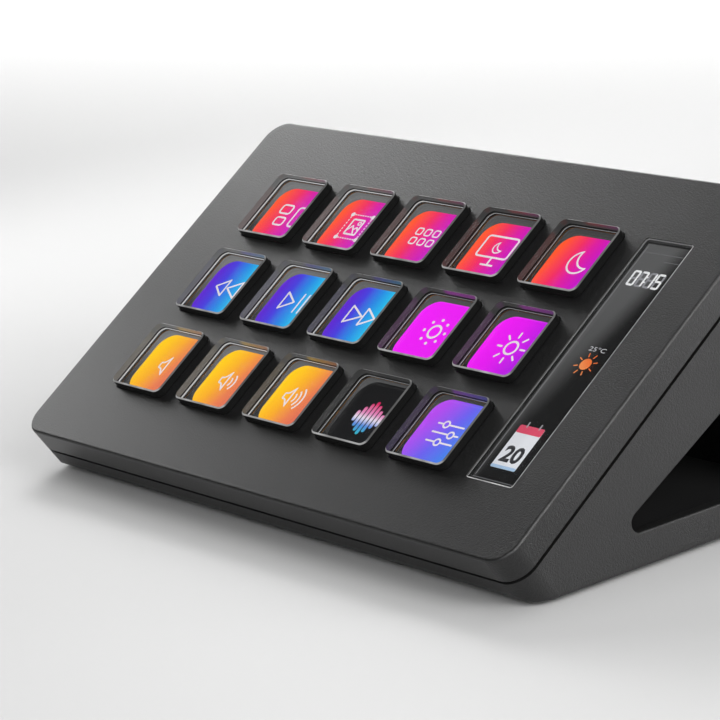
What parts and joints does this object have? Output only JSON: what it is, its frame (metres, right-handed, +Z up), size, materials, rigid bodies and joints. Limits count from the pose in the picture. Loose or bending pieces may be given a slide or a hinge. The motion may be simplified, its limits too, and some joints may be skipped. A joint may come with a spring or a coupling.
{
  "type": "display key pad",
  "caption": "Desk key pad with clear display keys and a side display strip, leaning back on a hollow wedge stand.",
  "frame": {"origin": "on the table, under the middle of the pad's bounding box", "axes": "+X right as the user sees it, +Y away from the user, +Z up"},
  "size_m": [0.137, 0.0762, 0.0562],
  "materials": {
    "cover_plastic": "fine matte texture, dark charcoal",
    "stand_plastic": "fine matte texture, dark charcoal",
    "base_plastic": "matte, dark",
    "inner_plastic": "matte black",
    "key_clear": "polished clear acrylic",
    "clear_window": "polished clear window",
    "display_glass": "gloss, black when dark",
    "backlight_metal": "plain",
    "board": "solder mask",
    "chip": "moulded",
    "film": "amber film",
    "soft_mat": "soft, matt",
    "socket_metal": "stamped steel",
    "foot_rubber": "matt rubber",
    "screw_steel": "dark plated"
  },
  "bodies": {
    "pad": {"front_cover": "cover_plastic", "strip_window": "clear_window", "key_mat": "soft_mat", "contact_film": "film", "display_panel": "display_glass", "backlight_unit": "backlight_metal", "display_carrier": "inner_plastic", "display_ribbon": "film", "main_board": "board", "ribbon_sockets": "inner_plastic", "board_chips": "chip", "usb_socket": "socket_metal", "stand_shell": "stand_plastic", "base_plate": "base_plastic", "rubber_feet": "foot_rubber", "carrier_screws": "screw_steel", "cover_screws": "screw_steel", "board_screws": "screw_steel", "base_screws": "screw_steel"},
    "key_r1_c1": {"key_cap_r1_c1": "key_clear"},
    "key_r1_c2": {"key_cap_r1_c2": "key_clear"},
    "key_r1_c3": {"key_cap_r1_c3": "key_clear"},
    "key_r1_c4": {"key_cap_r1_c4": "key_clear"},
    "key_r1_c5": {"key_cap_r1_c5": "key_clear"},
    "key_r2_c1": {"key_cap_r2_c1": "key_clear"},
    "key_r2_c2": {"key_cap_r2_c2": "key_clear"},
    "key_r2_c3": {"key_cap_r2_c3": "key_clear"},
    "key_r2_c4": {"key_cap_r2_c4": "key_clear"},
    "key_r2_c5": {"key_cap_r2_c5": "key_clear"},
    "key_r3_c1": {"key_cap_r3_c1": "key_clear"},
    "key_r3_c2": {"key_cap_r3_c2": "key_clear"},
    "key_r3_c3": {"key_cap_r3_c3": "key_clear"},
    "key_r3_c4": {"key_cap_r3_c4": "key_clear"},
    "key_r3_c5": {"key_cap_r3_c5": "key_clear"}
  },
  "joints": [
    {"name": "key_r1_c1_press", "type": "slide", "parent": "pad", "child": "key_r1_c1", "axis": [0, 0.5736, -0.8191], "range_m": [0, 0.0006], "stiffness_N_per_m": 500, "springref_m": -0.0006},
    {"name": "key_r1_c2_press", "type": "slide", "parent": "pad", "child": "key_r1_c2", "axis": [0, 0.5736, -0.8191], "range_m": [0, 0.0006], "stiffness_N_per_m": 500, "springref_m": -0.0006},
    {"name": "key_r1_c3_press", "type": "slide", "parent": "pad", "child": "key_r1_c3", "axis": [0, 0.5736, -0.8191], "range_m": [0, 0.0006], "stiffness_N_per_m": 500, "springref_m": -0.0006},
    {"name": "key_r1_c4_press", "type": "slide", "parent": "pad", "child": "key_r1_c4", "axis": [0, 0.5736, -0.8191], "range_m": [0, 0.0006], "stiffness_N_per_m": 500, "springref_m": -0.0006},
    {"name": "key_r1_c5_press", "type": "slide", "parent": "pad", "child": "key_r1_c5", "axis": [0, 0.5736, -0.8191], "range_m": [0, 0.0006], "stiffness_N_per_m": 500, "springref_m": -0.0006},
    {"name": "key_r2_c1_press", "type": "slide", "parent": "pad", "child": "key_r2_c1", "axis": [0, 0.5736, -0.8191], "range_m": [0, 0.0006], "stiffness_N_per_m": 500, "springref_m": -0.0006},
    {"name": "key_r2_c2_press", "type": "slide", "parent": "pad", "child": "key_r2_c2", "axis": [0, 0.5736, -0.8191], "range_m": [0, 0.0006], "stiffness_N_per_m": 500, "springref_m": -0.0006},
    {"name": "key_r2_c3_press", "type": "slide", "parent": "pad", "child": "key_r2_c3", "axis": [0, 0.5736, -0.8191], "range_m": [0, 0.0006], "stiffness_N_per_m": 500, "springref_m": -0.0006},
    {"name": "key_r2_c4_press", "type": "slide", "parent": "pad", "child": "key_r2_c4", "axis": [0, 0.5736, -0.8191], "range_m": [0, 0.0006], "stiffness_N_per_m": 500, "springref_m": -0.0006},
    {"name": "key_r2_c5_press", "type": "slide", "parent": "pad", "child": "key_r2_c5", "axis": [0, 0.5736, -0.8191], "range_m": [0, 0.0006], "stiffness_N_per_m": 500, "springref_m": -0.0006},
    {"name": "key_r3_c1_press", "type": "slide", "parent": "pad", "child": "key_r3_c1", "axis": [0, 0.5736, -0.8191], "range_m": [0, 0.0006], "stiffness_N_per_m": 500, "springref_m": -0.0006},
    {"name": "key_r3_c2_press", "type": "slide", "parent": "pad", "child": "key_r3_c2", "axis": [0, 0.5736, -0.8191], "range_m": [0, 0.0006], "stiffness_N_per_m": 500, "springref_m": -0.0006},
    {"name": "key_r3_c3_press", "type": "slide", "parent": "pad", "child": "key_r3_c3", "axis": [0, 0.5736, -0.8191], "range_m": [0, 0.0006], "stiffness_N_per_m": 500, "springref_m": -0.0006},
    {"name": "key_r3_c4_press", "type": "slide", "parent": "pad", "child": "key_r3_c4", "axis": [0, 0.5736, -0.8191], "range_m": [0, 0.0006], "stiffness_N_per_m": 500, "springref_m": -0.0006},
    {"name": "key_r3_c5_press", "type": "slide", "parent": "pad", "child": "key_r3_c5", "axis": [0, 0.5736, -0.8191], "range_m": [0, 0.0006], "stiffness_N_per_m": 500, "springref_m": -0.0006}
  ]
}
